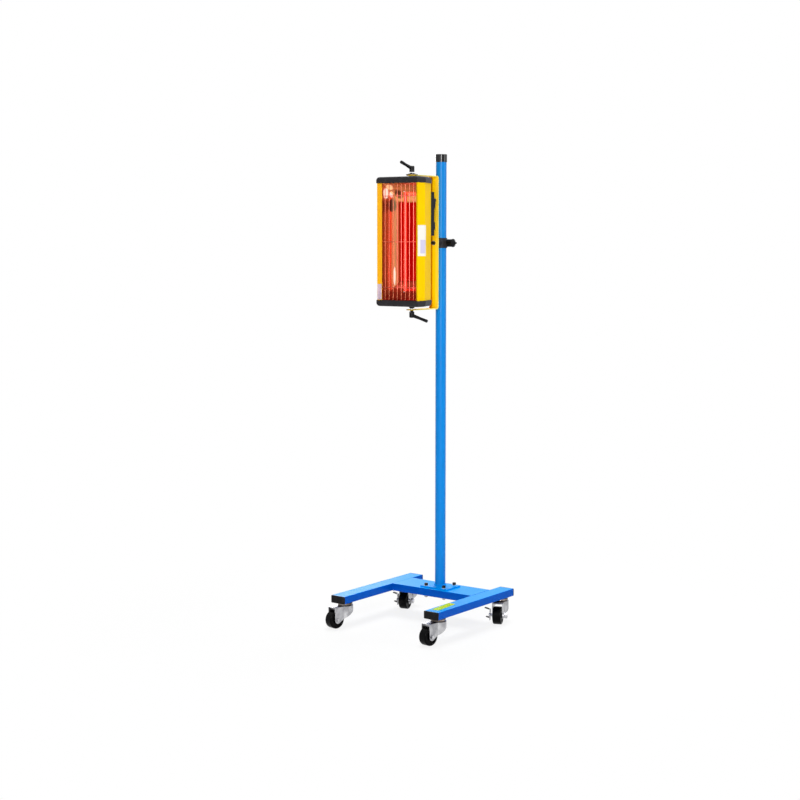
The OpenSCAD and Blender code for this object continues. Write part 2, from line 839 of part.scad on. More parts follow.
// Corner rods whose hull is one layer of an end cap, drawn in by d
module cap_layer(d, z, h) {
    path = concat([[0, -front_d]], housing_half(), [[0, back_d]]);
    for (i = [1:3], x = [-1, 1]) translate([x * mitre(path, i, d)[0], mitre(path, i, d)[1], z])
        cylinder(h = h, r = cap_lip, $fn = 24);
}

// End cap with its open mouth on z = 0 and its rounded face upwards
module end_cap_shell() {
    skin = 2.5;
    leaf = 0.01;
    pivot_boss_r = 12;
    screw_boss_r = 6;
    head_r = cap_screw_r + 2;
    head_depth = 3;
    difference() {
        hull() {
            cap_layer(0, 0, 0.5 * cap_h);
            cap_layer(1.5, 0.75 * cap_h, leaf);
            cap_layer(4, 0.92 * cap_h, leaf);
            cap_layer(8, cap_h - leaf, leaf);
        }
        difference() {
            hull() {
                cap_layer(cap_lip + skin, -eps, 0.5 * cap_h);
                cap_layer(14, cap_h - skin - leaf, leaf);
            }
            cylinder(h = cap_h, r = pivot_boss_r);
            for (x = [-1, 1]) translate([x * cap_screw_x, cap_screw_y, 0])
                cylinder(h = cap_h, r = screw_boss_r);
        }
        translate([0, 0, cap_h - stud_depth]) cylinder(h = stud_depth + eps, r = stud_r + run_gap);
        for (x = [-1, 1]) translate([x * cap_screw_x, cap_screw_y, -eps]) {
            cylinder(h = cap_h, r = cap_screw_r + run_gap);
            translate([0, 0, cap_h - head_depth]) cylinder(h = cap_h, r = head_r + hole_gap);
        }
    }
}

module top_cap() {
    color("black") in_lamp() translate([0, 0, body_h / 2]) end_cap_shell();
}

module bottom_cap() {
    color("black") in_lamp() mirror([0, 0, 1]) translate([0, 0, body_h / 2]) end_cap_shell();
}

module cap_screws() {
    depth = 3;
    screw_head_h = 2;
    screw_l = cap_h - depth + 2 * sheet_t;
    head_z0 = lamp_h / 2 - depth;
    color("silver") both_ends() for (x = [-1, 1]) translate([x * cap_screw_x, cap_screw_y, head_z0]) {
        cylinder(h = screw_head_h, r = cap_screw_r + 2);
        translate([0, 0, -screw_l]) cylinder(h = screw_l + eps, r = cap_screw_r);
    }
}

// Pivots: a plain spacer above, and a tapered spacer on a bright bush below

module top_spacer() {
    spacer_r = 12;
    color("black") in_lamp() translate([0, 0, lamp_h / 2])
        ring(spacer_r, stud_r + run_gap, gap_top - run_gap);
}

module bottom_spacer() {
    wide_r = 12;
    narrow_r = 8;
    taper_h = 2 * gap_bottom / 3;
    color("black") in_lamp() translate([0, 0, -lamp_h / 2 - taper_h]) difference() {
        cylinder(h = taper_h, r1 = narrow_r, r2 = wide_r);
        translate([0, 0, -eps]) cylinder(h = taper_h + 2 * eps, r = stud_r + run_gap);
    }
}

module pivot_bush() {
    bush_r = 6;
    color("silver") translate([0, pivot_y, arm_bottom_z + run_gap])
        ring(bush_r, stud_r + run_gap, gap_bottom / 3 - run_gap);
}

// Heater: a polished trough, sloping end mirrors, a quartz tube in ceramic holders, and a wire grille

// Slab parallel to the upper end mirror, between the depths z0 and z1 behind its bright face
module slope(z0, z1) {
    reach = 2 * mirror_d;
    translate([0, mirror_front[1], body_h / 2]) rotate([-45, 0, 0])
        translate([-lamp_w / 2, -mirror_d, z0]) cube([lamp_w, 2 * reach, z1 - z0]);
}

module reflector() {
    color("gainsboro") in_lamp() difference() {
        linear_extrude(body_h, center = true) polygon(band(both(mirror_half), -mirror_t));
        for (side = [0, 1]) mirror([0, 0, side]) slope(-run_gap, 2 * mirror_d);
    }
}

module end_mirrors() {
    inner = both(mirror_half);
    last = len(inner) - 1;
    color("gainsboro") both_ends() difference() {
        intersection() {
            linear_extrude(body_h / 2) polygon([for (i = [0:last]) mitre(inner, i, -mirror_t)]);
            slope(0, mirror_t);
        }
        translate([0, tube_y, 0]) cylinder(h = body_h, r = tube_end_r + 1);
        translate([0, tube_y, holder_bottom - face_gap]) linear_extrude(body_h) holder_outline(face_gap);
    }
}

module quartz_tube() {
    color("white") in_lamp() translate([0, tube_y, -tube_len / 2])
        ring(tube_d / 2, tube_d / 2 - tube_wall, tube_len);
}

module filament() {
    filament_r = 1;
    color("orangered") in_lamp() translate([0, tube_y, -tube_len / 2]) cylinder(h = tube_len, r = filament_r);
}

module tube_ends() {
    color("ivory") both_ends() translate([0, tube_y, tube_len / 2 - tube_overlap]) difference() {
        cylinder(h = tube_end_l, r = tube_end_r);
        translate([0, 0, -eps]) cylinder(h = tube_overlap + eps, r = tube_d / 2 + run_gap);
    }
}

// Outline of a ceramic holder, or of the hole round it when drawn out by d
module holder_outline(d) {
    round_rect(holder_w + 2 * d, holder_w + 2 * d, holder_corner + d);
}

module tube_holders() {
    color("ivory") both_ends() translate([0, tube_y, 0]) difference() {
        translate([0, 0, holder_bottom]) linear_extrude(holder_top - holder_bottom) holder_outline(0);
        translate([0, 0, holder_bottom - eps])
            cylinder(h = tube_end_top - holder_bottom + eps, r = tube_end_r + run_gap);
    }
}

module grille() {
    half_l = body_h / 2 - wire_d;
    cross_l = mirror_front[0] - wire_d;
    weld = wire_d / 10;
    color("silver") in_lamp() {
        for (i = [-wire_side:wire_side]) translate([i * wire_pitch, wire_y, -half_l])
            cylinder(h = 2 * half_l, d = wire_d, $fn = 32);
        for (z = [-cross_wire_z, 0, cross_wire_z]) translate([-cross_l, wire_y + wire_d - weld, z]) to_right()
            cylinder(h = 2 * cross_l, d = wire_d, $fn = 32);
    }
}

// Controls on the back of the lamp: a box with a rocker switch, a timer and a cable gland

module box_points() {
    inset = 8;
    for (x = [-1, 1], z = [inset - box_h, -inset]) translate([x * (back_w / 2 - inset), back_d, box_top + z])
        to_back() children();
}

module control_box() {
    wall = 2;
    bevel = 3;
    half_w = back_w / 2 - face_gap;
    post_r = 4;
    color("black") in_lamp() difference() {
        union() {
            translate([0, 0, box_top - box_h]) difference() {
                linear_extrude(box_h) polygon(both([[half_w, back_d], [half_w, box_y - bevel],
                    [half_w - bevel, box_y]]));
                translate([0, 0, wall]) linear_extrude(box_h - 2 * wall) polygon(both([[half_w - wall, 0],
                    [half_w - wall, box_y - bevel - wall / 2], [half_w - bevel - wall / 2, box_y - wall]]));
            }
            box_points() cylinder(h = box_d - wall + eps, r = post_r);
        }
        box_points() translate([0, 0, -eps]) cylinder(h = 2 * box_d, r = cap_screw_r + run_gap);
        translate([switch_x, box_y - 2 * wall, rocker_z]) to_back()
            cylinder(h = 4 * wall, r = rocker_w / 4);
        translate([switch_x, box_y - 2 * wall, dial_z]) to_back()
            cylinder(h = 4 * wall, r = dial_shaft_r + run_gap);
        translate([-switch_x, back_d + box_d / 2, box_top - box_h - eps])
            cylinder(h = wall + 2 * eps, r = gland_r + run_gap);
    }
}

module box_screws() {
    screw_head_h = 2;
    color("silver") in_lamp() box_points() {
        translate([0, 0, face_gap]) cylinder(h = box_d, r = cap_screw_r);
        translate([0, 0, box_d]) domed(cap_screw_r + 1.5, screw_head_h, 1);
    }
}

// Frame round the rocker, highest above it, with side holes for the rocker's pins
module rocker_frame() {
    floor_t = 1;
    middle = (frame_low + frame_high) / 2;
    rise = frame_high - frame_low;
    color("black") in_lamp() translate([switch_x, box_y, rocker_z]) difference() {
        intersection() {
            to_back() linear_extrude(2 * frame_high) round_rect(rocker_w, rocker_h, 3);
            across(-rocker_w, rocker_w) polygon([[-frame_low, -rocker_h], [middle - rise, -rocker_h],
                [middle + rise, rocker_h], [-frame_low, rocker_h]]);
        }
        translate([0, floor_t, 0]) to_back() linear_extrude(2 * frame_high)
            round_rect(rocker_w - 2 * frame_rim, rocker_h - 2 * frame_rim, 1);
        translate([-rocker_w, rocker_pivot, 0]) to_right()
            cylinder(h = 2 * rocker_w, r = trunnion_r + run_gap);
    }
}

// Rocker with round ends, a hollow face and a V-shaped back between its two rest places
module rocker() {
    half_w = rocker_w / 2 - frame_rim - 0.5;
    end_r = rocker_h / 2 - frame_rim - 0.5;
    face_y = 6;
    end_y = 1.5;
    keel_y = -3;
    hollow_r = 60;
    dip = 1.8;
    pin_half = rocker_w / 2 - 0.5;
    pivot = [switch_x, box_y + rocker_pivot, rocker_z];
    color("black") in_lamp() translate(pivot) rotate([-rocker_tilt, 0, 0]) {
        difference() {
            across(-half_w, half_w) intersection() {
                circle(end_r);
                polygon([[keel_y, 0], [end_y, -rocker_h / 2], [face_y, -rocker_h / 2],
                    [face_y, rocker_h / 2], [end_y, rocker_h / 2]]);
            }
            translate([-rocker_w, face_y - dip + hollow_r, 0]) to_right()
                cylinder(h = 2 * rocker_w, r = hollow_r);
        }
        translate([-pin_half, 0, 0]) to_right() cylinder(h = 2 * pin_half, r = trunnion_r);
    }
}

// Timer dial: a ridged skirt with an upright grip across it, and a shaft through the box
module timer_dial() {
    ridges = 24;
    ridge_r = 1;
    skirt_h = 5;
    shaft_l = 8;
    edge = 1.5;
    grip_l = dial_d - 6;
    grip_w = 12;
    notch_w = 2;
    gap = 0.5;
    color("black") in_lamp() translate([switch_x, box_y + gap, dial_z]) to_back() {
        difference() {
            union() {
                domed(dial_d / 2, skirt_h, edge);
                linear_extrude(dial_l) round_rect(grip_w, grip_l, 3);
            }
            for (i = [1:ridges]) rotate([0, 0, (i + 0.5) * 360 / ridges])
                translate([dial_d / 2 + edge / 4, 0, -eps]) cylinder(h = dial_l, r = ridge_r, $fn = 24);
            translate([-notch_w / 2, -grip_l, dial_l - 1]) cube([notch_w, 0.8 * grip_l, 2]);
        }
        translate([0, 0, -shaft_l]) cylinder(h = shaft_l + eps, r = dial_shaft_r);
    }
}

// Cable gland pointing down: thread through the box, hexagon, and a clamping dome round the bore
module cable_gland() {
    thread_l = 4;
    hex_h = 8;
    hex_af = 2 * gland_r + 1;
    tip_r = cable_d / 2 + 1.2;
    color("black") in_lamp() translate([-switch_x, back_d + box_d / 2, box_top - box_h]) difference() {
        union() {
            translate([0, 0, -eps]) cylinder(h = thread_l, r = gland_r);
            translate([0, 0, -hex_h]) hexagon(hex_af, hex_h);
            translate([0, 0, -gland_l]) rotate_extrude() polygon([[0, 0], [tip_r, 0], [gland_r, tip_r],
                [gland_r, gland_l - hex_h + eps], [0, gland_l - hex_h + eps]]);
        }
        translate([0, 0, -gland_l - eps]) cylinder(h = gland_l + 2 * thread_l, r = cable_d / 2 + 0.1);
    }
}

rail(-rail_x);  // rail_left
rail(rail_x);  // rail_right
cross_tube();
rail_end_caps();
column_flange();
column();
column_sleeve();
flange_bolts();
flange_washers();
flange_nuts();
caster_races();
caster_nuts();
fork(front_left);  // fork_front_left
fork(front_right);  // fork_front_right
fork(rear_left);  // fork_rear_left
fork(rear_right);  // fork_rear_right
axle(front_left);  // axle_front_left
axle(front_right);  // axle_front_right
braked_axle(rear_left);  // axle_rear_left
braked_axle(rear_right);  // axle_rear_right
wheel(front_left);  // wheel_front_left
wheel(front_right);  // wheel_front_right
wheel(rear_left);  // wheel_rear_left
wheel(rear_right);  // wheel_rear_right
brake(rear_left);  // brake_rear_left
brake(rear_right);  // brake_rear_right
clamp_liner();
clamp_collar();
clamp_knob();
clamp_screw();
roll_bolt();
roll_washers();
yoke();
cup_washer();
top_lever();
top_stud();
bottom_lever();
bottom_stud();
lamp_housing();
end_plates();
top_cap();
bottom_cap();
cap_screws();
top_spacer();
bottom_spacer();
pivot_bush();
reflector();
end_mirrors();
quartz_tube();
filament();
tube_ends();
tube_holders();
grille();
control_box();
box_screws();
rocker_frame();
rocker();
timer_dial();
cable_gland();
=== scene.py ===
import math
import bmesh
import bpy
from mathutils import Matrix, Vector
from mathutils.bvhtree import BVHTree


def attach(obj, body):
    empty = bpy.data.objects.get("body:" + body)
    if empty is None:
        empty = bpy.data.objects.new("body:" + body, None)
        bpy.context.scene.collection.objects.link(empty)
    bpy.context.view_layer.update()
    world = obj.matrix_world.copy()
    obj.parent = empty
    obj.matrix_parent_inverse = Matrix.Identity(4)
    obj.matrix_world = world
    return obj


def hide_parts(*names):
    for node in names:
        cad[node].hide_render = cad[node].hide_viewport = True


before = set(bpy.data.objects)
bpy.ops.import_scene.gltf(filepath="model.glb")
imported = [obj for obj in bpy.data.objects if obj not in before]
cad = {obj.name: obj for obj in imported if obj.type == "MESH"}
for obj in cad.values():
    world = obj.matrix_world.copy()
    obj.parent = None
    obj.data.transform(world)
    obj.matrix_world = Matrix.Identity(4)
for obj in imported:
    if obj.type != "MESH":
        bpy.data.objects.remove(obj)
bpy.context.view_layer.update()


# The camera stands 5.7 m from the column, 35 degrees to the right of its front and as high as
# the lamp, and looks a little down. Its long lens is given for a 36 mm sensor.
camera_turn = math.radians(35.07)
camera_away = 5.7
camera_height = 1.3675
camera_pan = math.radians(1.47)
camera_tilt = math.radians(5.71)
camera_data = bpy.data.cameras.new("camera")
camera_data.sensor_width = 36
camera_data.lens = 71.68
camera = bpy.data.objects.new("camera", camera_data)
camera.location = (camera_away * math.sin(camera_turn), -camera_away * math.cos(camera_turn),
                   camera_height)
camera.rotation_euler = (math.pi / 2 - camera_tilt, 0, camera_turn + camera_pan)
bpy.context.scene.collection.objects.link(camera)
bpy.context.scene.camera = camera
bpy.context.scene.view_settings.view_transform = "Standard"


# The studio: a white sweep under and behind the object, which the camera and all gloss see as
# plain white away from the object's own shadow, and soft boxes near the camera's direction.
class Signal:
    """One output in a tree of shader nodes. Sums on it add Math nodes, and its method `node`
    adds a node of any other kind, with its settings first and its sockets after them."""

    def __init__(self, tree, socket=None):
        self.tree = tree
        self.socket = socket

    def node(self, kind, settings=None, sockets=None, output=0):
        made = self.tree.nodes.new("ShaderNode" + kind)
        for name, value in (settings or {}).items():
            if name == "stops":
                while len(made.color_ramp.elements) < len(value):
                    made.color_ramp.elements.new(1)
                for element, (position, colour) in zip(made.color_ramp.elements, value):
                    element.position = position
                    element.color = colour
            else:
                setattr(made, name, value)
        for name, value in (sockets or {}).items():
            if isinstance(value, Signal):
                self.tree.links.new(value.socket, made.inputs[name])
            else:
                made.inputs[name].default_value = value
        return Signal(self.tree, made.outputs[output] if made.outputs else None)

    def maths(self, operation, first, second=0):
        return self.node("Math", {"operation": operation}, {0: first, 1: second})

    def __add__(self, other):
        return self.maths("ADD", self, other)

    def __sub__(self, other):
        return self.maths("SUBTRACT", self, other)

    def __rsub__(self, other):
        return self.maths("SUBTRACT", other, self)

    def __mul__(self, other):
        return self.maths("MULTIPLY", self, other)

    __radd__ = __add__
    __rmul__ = __mul__


def tint(red, green, blue):
    """The colour seen on a screen, 0 to 255 a channel, as the light that a shader works in."""
    return tuple((level / 255) ** 2.2 for level in (red, green, blue)) + (1,)


def new_finish(name):
    """An empty material, and the place of each of its points on the object at rest."""
    material = bpy.data.materials.new(name)
    material.use_nodes = True
    material.node_tree.nodes.clear()
    return material, Signal(material.node_tree).node("TexCoord", output="Object")


def step(signal, low, high):
    """0 below low, 1 above high, and smooth between them."""
    return signal.node("MapRange", {"interpolation_type": "SMOOTHSTEP"},
                       {"Value": signal, "From Min": low, "From Max": high})


def direct_rays(signal):
    kinds = ("Is Camera Ray", "Is Glossy Ray", "Is Transmission Ray")
    return sum(signal.node("LightPath", output=kind) for kind in kinds)


white = (1, 1, 1, 1)
sweep_half = 30
shadow_share = 0.16
shadow_full, shadow_end = 0.55, 1.5


def studio_white(name):
    """White to the camera and to gloss, apart from a share near the object for its shadow."""
    material, place = new_finish(name)
    away = place.node("VectorMath", {"operation": "LENGTH"}, {0: place}, "Value")
    near = 1 - step(away, shadow_full, shadow_end)
    paper = place.node("BsdfDiffuse", sockets={"Color": tint(232, 232, 232)})
    glow = place.node("Emission", sockets={"Color": white, "Strength": 1.0})
    share = direct_rays(place) * (1 - near * shadow_share)
    mixed = place.node("MixShader", sockets={0: share, 1: paper, 2: glow})
    place.node("OutputMaterial", sockets={"Surface": mixed})
    return material


floor_mesh = bmesh.new()
bmesh.ops.create_grid(floor_mesh, x_segments=1, y_segments=1, size=sweep_half)
floor_data = bpy.data.meshes.new("floor")
floor_mesh.to_mesh(floor_data)
floor_mesh.free()
floor_data.materials.append(studio_white("floor_white"))
floor = bpy.data.objects.new("floor", floor_data)
bpy.context.scene.collection.objects.link(floor)

world = bpy.data.worlds.new("studio")
world.use_nodes = True
world.node_tree.nodes.clear()
bpy.context.scene.world = world
sky = Signal(world.node_tree)
dim = sky.node("Background", sockets={"Color": white, "Strength": 0.08})
plain = sky.node("Background", sockets={"Color": white, "Strength": 1.0})
seen = sky.node("MixShader", sockets={0: direct_rays(sky), 1: dim, 2: plain})
sky.node("OutputWorld", sockets={"Surface": seen})

aim_height = 1.1


def soft_box(name, turn, height, away, width, tall, power):
    """A lamp of a width and a height, turned round the column by degrees from its front."""
    data = bpy.data.lights.new(name, "AREA")
    data.shape = "RECTANGLE"
    data.size = width
    data.size_y = tall
    data.energy = power
    box = bpy.data.objects.new(name, data)
    turn = math.radians(turn)
    box.location = (away * math.sin(turn), -away * math.cos(turn), height)
    aim = Vector((0, 0, aim_height)) - box.location
    box.rotation_euler = aim.to_track_quat("-Z", "Y").to_euler()
    bpy.context.scene.collection.objects.link(box)


soft_box("key", turn=35, height=1.9, away=3.8, width=0.7, tall=2.2, power=118)
soft_box("right", turn=110, height=2.0, away=3.8, width=0.9, tall=1.8, power=38)
soft_box("left", turn=-6, height=1.9, away=3.8, width=0.3, tall=1.8, power=8)
soft_box("over", turn=200, height=4.3, away=1.1, width=2.0, tall=2.0, power=165)
soft_box("rear", turn=225, height=2.2, away=4.0, width=1.0, tall=1.6, power=45)


# Frame and column: welded steel tube under a thick gloss enamel, sprayed on, with a fine
# orange peel, faint drifts in its colour, a few worn smears, and a lighter blue on flat tops
# that is painted light from above.
def noise(place, scale, detail, stretch=(1, 1, 1)):
    spread = place.node("Mapping", sockets={"Vector": place, "Scale": stretch})
    return place.node("TexNoise", sockets={"Vector": spread, "Scale": scale, "Detail": detail})


def along(place, axis):
    return place.node("SeparateXYZ", sockets={0: place}, output=axis)


def blend_tints(mask, first, second):
    return mask.node("Mix", {"data_type": "RGBA"}, {0: mask, 6: first, 7: second}, 2)


def relief(height, depth):
    return height.node("Bump", sockets={"Height": height, "Distance": depth})


def surface(place, **sockets):
    named = {name.replace("_", " "): value for name, value in sockets.items()}
    shader = place.node("BsdfPrincipled", sockets=named)
    place.node("OutputMaterial", sockets={"Surface": shader})


def dress(material, *names):
    """Gives CAD nodes this material."""
    for name in names:
        cad[name].data.materials.clear()
        cad[name].data.materials.append(material)


rail_top = 0.1155


def enamel(name, deep, light, worn, roughness, shine, peel_depth, top=None):
    material, place = new_finish(name)
    peel = noise(place, 850, 1.0)
    drift = noise(place, 7, 3.0)
    smear = step(noise(place, 30, 4.0, (1, 1, 0.25)), 0.6, 0.85)
    colour = blend_tints(drift, deep, light)
    if top:
        # Painted light: a lighter blue on the flat tops, for light from above.
        painted_light_on_top = step(along(place, 2), rail_top - 0.0006, rail_top - 0.0001)
        colour = blend_tints(painted_light_on_top, colour, top)
    surface(place, Base_Color=blend_tints(smear * 0.1, colour, worn),
            Roughness=roughness + drift * 0.06, Normal=relief(peel, peel_depth),
            Specular_IOR_Level=shine)
    return material


# The tint given as top is painted light on the flat tops of the rails.
blue_enamel = enamel("blue_enamel", tint(0, 76, 172), tint(4, 86, 186), tint(60, 130, 210),
                     roughness=0.26, shine=0.04, peel_depth=0.000005, top=tint(6, 146, 232))
dress(blue_enamel, "rail_left", "rail_right", "cross_tube", "column_flange")
tube_enamel = enamel("tube_enamel", tint(6, 120, 200), tint(10, 130, 212), tint(70, 160, 220),
                     roughness=0.3, shine=0.16, peel_depth=0.00001)
dress(tube_enamel, "column")


# Welds: a rippled bead of steel round the foot of the column, and beads down the corners and
# along the underside where the cross tube meets the rails, painted over with the frame.
def add_piece(name, shape, material, body):
    """Makes an object of a finished bmesh, and lets it move with a body of the frame."""
    bmesh.ops.recalc_face_normals(shape, faces=shape.faces)
    data = bpy.data.meshes.new(name)
    shape.to_mesh(data)
    shape.free()
    data.materials.append(material)
    piece = bpy.data.objects.new(name, data)
    bpy.context.scene.collection.objects.link(piece)
    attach(piece, body)
    return piece


bead_r = 0.0022
under_bead_r = 0.0017
bead_sides = 8
bead_out = 0.0006
column_r = 0.019
flange_top = 0.124
foot_bead_r = column_r + bead_out
foot_bead_z = flange_top + bead_out
foot_ripples, foot_swell = 44, 0.16
foot_weld = bmesh.new()
bmesh.ops.create_circle(foot_weld, segments=bead_sides, radius=bead_r)
bmesh.ops.rotate(foot_weld, verts=foot_weld.verts, matrix=Matrix.Rotation(math.pi / 2, 3, "X"))
bmesh.ops.translate(foot_weld, verts=foot_weld.verts, vec=(foot_bead_r, 0, foot_bead_z))
bmesh.ops.spin(foot_weld, geom=foot_weld.edges[:], cent=(0, 0, 0), axis=(0, 0, 1),
               angle=2 * math.pi, steps=foot_ripples * 4, use_merge=True)
for vert in foot_weld.verts:
    turn = math.atan2(vert.co.y, vert.co.x)
    centre = Vector((foot_bead_r * math.cos(turn), foot_bead_r * math.sin(turn), foot_bead_z))
    vert.co = centre + (vert.co - centre) * (1 + foot_swell * math.sin(foot_ripples * turn))
add_piece("foot_weld", foot_weld, blue_enamel, "stand")

ripple_pitch, rail_swell = 0.002, 0.22
rail_in = 0.1725
rail_low = 0.0885
cross_front, cross_back = -0.058, 0.066
weld_low, weld_high = rail_low + 0.002, rail_top - 0.0025
weld_front, weld_back = cross_front + 0.004, cross_back - 0.004


def own_edges(verts):
    """Each edge between these points once, in the order of the points."""
    return [edge for vert in verts for edge in vert.link_edges if edge.verts[0] == vert]


def straight_weld(shape, start, finish, r):
    """A bead from start to finish, cut into short steps so that it can be rippled."""
    start, finish = Vector(start), Vector(finish)
    run = finish - start
    steps = int(run.length * 4 / ripple_pitch)
    place = Matrix.Translation(start) @ run.to_track_quat("Z", "Y").to_matrix().to_4x4()
    made = bmesh.ops.create_circle(shape, segments=bead_sides, radius=r, matrix=place)["verts"]
    start_rim = own_edges(made)
    swept = bmesh.ops.spin(shape, geom=start_rim, cent=start, axis=run, dvec=run / steps,
                           angle=0, steps=steps)
    end_rim = [item for item in swept["geom_last"] if isinstance(item, bmesh.types.BMEdge)]
    bmesh.ops.edgeloop_fill(shape, edges=start_rim)
    bmesh.ops.edgeloop_fill(shape, edges=end_rim)


rail_welds = bmesh.new()
for side_x in (-rail_in, rail_in):
    for y in (cross_front, cross_back):
        straight_weld(rail_welds, (side_x, y, weld_low), (side_x, y, weld_high), bead_r)
    straight_weld(rail_welds, (side_x, weld_front, rail_low), (side_x, weld_back, rail_low),
                  under_bead_r)
for vert in rail_welds.verts:
    travel = vert.co.y if vert.co.z < rail_low + 0.0018 else vert.co.z
    push = vert.co.x - math.copysign(rail_in, vert.co.x)
    vert.co.x += push * rail_swell * math.sin(travel * 2 * math.pi / ripple_pitch)
add_piece("rail_welds", rail_welds, blue_enamel, "stand")


# Blank sticker on top of the right rail, of thin yellow-green film. A sticker starts as a flat
# card with round corners, and is laid on the CAD surface under it.
def card(centre, across, up, corner_r, fold_ys=()):
    """A flat card whose half-sides are the vectors across and up, cut across Y at each fold."""
    shape = bmesh.new()
    bmesh.ops.create_grid(shape, x_segments=1, y_segments=1, size=1)
    across, up = Vector(across), Vector(up)
    place = Matrix([across, up, across.cross(up).normalized()]).transposed().to_4x4()
    place.translation = centre
    bmesh.ops.transform(shape, matrix=place, verts=shape.verts)
    bmesh.ops.bevel(shape, geom=shape.verts[:], affect="VERTICES", offset=corner_r, segments=4,
                    profile=0.5, material=-1)
    for y in fold_ys:
        bmesh.ops.bisect_plane(shape, geom=shape.verts[:] + shape.edges[:] + shape.faces[:],
                               plane_co=(0, y, 0), plane_no=(0, 1, 0))
    return shape


def lay_on(shape, node, toward, lift):
    """Moves each point in the direction toward until it is lift above a CAD node's surface."""
    mesh = cad[node].data
    tree = BVHTree.FromPolygons([vert.co for vert in mesh.vertices],
                                [face.vertices for face in mesh.polygons])
    toward = Vector(toward)
    for vert in shape.verts:
        landed = tree.ray_cast(vert.co, toward)[0]
        vert.co = landed - toward * lift


film_t = 0.00015


def film(name, colour, cloudy):
    material, place = new_finish(name)
    cloud = noise(place, 45, 3.0)
    fibre = noise(place, 1500, 2.0)
    surface(place, Base_Color=blend_tints(step(cloud, 0.35, 0.7), colour, cloudy),
            Roughness=0.42 + cloud * 0.12, Normal=relief(fibre, 0.00001),
            Specular_IOR_Level=0.05)
    return material


film_lift = 0.0001
sticker_middle = (0.1940, -0.255, 0.2)
sticker_across, sticker_along = (0.0145, 0.0010, 0), (-0.0040, 0.058, 0)
rail_sticker = card(sticker_middle, sticker_across, sticker_along, corner_r=0.003)
lay_on(rail_sticker, "rail_right", (0, 0, -1), film_lift)
bmesh.ops.solidify(rail_sticker, geom=rail_sticker.faces[:], thickness=-film_t)
yellow_green_film = film("yellow_green_film", tint(150, 190, 6), tint(186, 196, 10))
add_piece("rail_sticker", rail_sticker, yellow_green_film, "stand")


# End caps of the rails, the sleeve on the column and the other moulded pieces: black plastic
# with a fine spark-eroded grain and a few rubbed, duller places. The sleeve is nearly polished.
def moulded(name, colour, rubbed, roughness, grain_depth, shine=0.14):
    material, place = new_finish(name)
    grain = noise(place, 1400, 2.0)
    wear = step(noise(place, 60, 4.0), 0.5, 0.8)
    surface(place, Base_Color=blend_tints(wear, colour, rubbed),
            Roughness=roughness + wear * 0.14, Normal=relief(grain, grain_depth),
            Specular_IOR_Level=shine)
    return material


black_plastic = moulded("black_plastic", tint(18, 18, 20), tint(36, 35, 38),
                        roughness=0.34, grain_depth=0.00003)
dress(black_plastic, "rail_end_caps", "clamp_knob", "top_lever", "bottom_lever", "control_box",
      "rocker_frame", "rocker", "timer_dial", "cable_gland", "top_spacer", "bottom_spacer")
cap_plastic = moulded("cap_plastic", tint(38, 37, 39), tint(52, 50, 53),
                      roughness=0.48, grain_depth=0.00005)
dress(cap_plastic, "top_cap", "bottom_cap")
grey_nylon = moulded("grey_nylon", tint(44, 43, 46), tint(60, 58, 60),
                     roughness=0.5, grain_depth=0.00003)
dress(grey_nylon, "clamp_liner", "clamp_collar")
sleeve_plastic = moulded("sleeve_plastic", tint(8, 8, 10), tint(16, 16, 18),
                         roughness=0.12, grain_depth=0.000005, shine=0.35)
dress(sleeve_plastic, "column_sleeve")


# Forks, races, fasteners and studs: plated steel with a mottled grain, dull where the plating
# is thin. The screws of the flange, the roll bolt and the dished washer are blackened.
def plated(name, light, dark, roughness, mottle_scale=130):
    material, place = new_finish(name)
    grain = noise(place, 900, 3.0)
    mottle = step(noise(place, mottle_scale, 5.0), 0.3, 0.7)
    surface(place, Base_Color=blend_tints(mottle, dark, light), Metallic=1.0,
            Roughness=roughness + mottle * 0.12, Normal=relief(grain, 0.00002))
    return material


corners = ["front_left", "front_right", "rear_left", "rear_right"]
zinc = plated("zinc", tint(214, 214, 216), tint(150, 150, 154), roughness=0.26)
dress(zinc, "flange_washers", "flange_nuts", "caster_nuts", "clamp_screw", "roll_washers",
      "top_stud", "bottom_stud", "cap_screws", "box_screws", "pivot_bush",
      *["axle_" + corner for corner in corners])
pressed_zinc = plated("pressed_zinc", tint(190, 190, 192), tint(150, 150, 154),
                      roughness=0.26, mottle_scale=45)
dress(pressed_zinc, *["fork_" + corner for corner in corners])
black_steel = plated("black_steel", tint(60, 58, 58), tint(34, 33, 34), roughness=0.34)
dress(black_steel, "flange_bolts", "roll_bolt", "cup_washer")
race_steel = plated("race_steel", tint(150, 140, 134), tint(84, 76, 72),
                    roughness=0.22, mottle_scale=60)
dress(race_steel, "caster_races")


# Foot brakes: a zinc-plated plate beside the fork, with two foot tabs dipped in dark plastic
# that stand out from it. The plate's outer face is 29.5 mm from the swivel's axis.
plate_out = 0.0295
dip_start, dip_full = 0.0012, 0.0018
swivel_x, swivel_y = 0.2025, 0.091


def brake_finish(corner, x, yaw):
    material, place = new_finish("brake_" + corner)
    outward = Vector((-math.cos(yaw), -math.sin(yaw), 0))
    plate_face = outward.dot(Vector((x, swivel_y, 0))) + plate_out
    across = place.node("VectorMath", {"operation": "DOT_PRODUCT"}, {0: place, 1: outward},
                        "Value")
    dip = step(across, plate_face + dip_start, plate_face + dip_full)
    grain = noise(place, 900, 3.0)
    mottle = step(noise(place, 130, 5.0), 0.3, 0.7)
    steel = blend_tints(mottle, tint(120, 118, 118), tint(206, 206, 208))
    surface(place, Base_Color=blend_tints(dip, steel, tint(56, 50, 50)), Metallic=1 - dip,
            Roughness=0.26 + dip * 0.24, Normal=relief(grain, 0.00002),
            Specular_IOR_Level=0.14)
    dress(material, "brake_" + corner)


brake_finish("rear_left", -swivel_x, math.radians(14))
brake_finish("rear_right", swivel_x, math.radians(22))


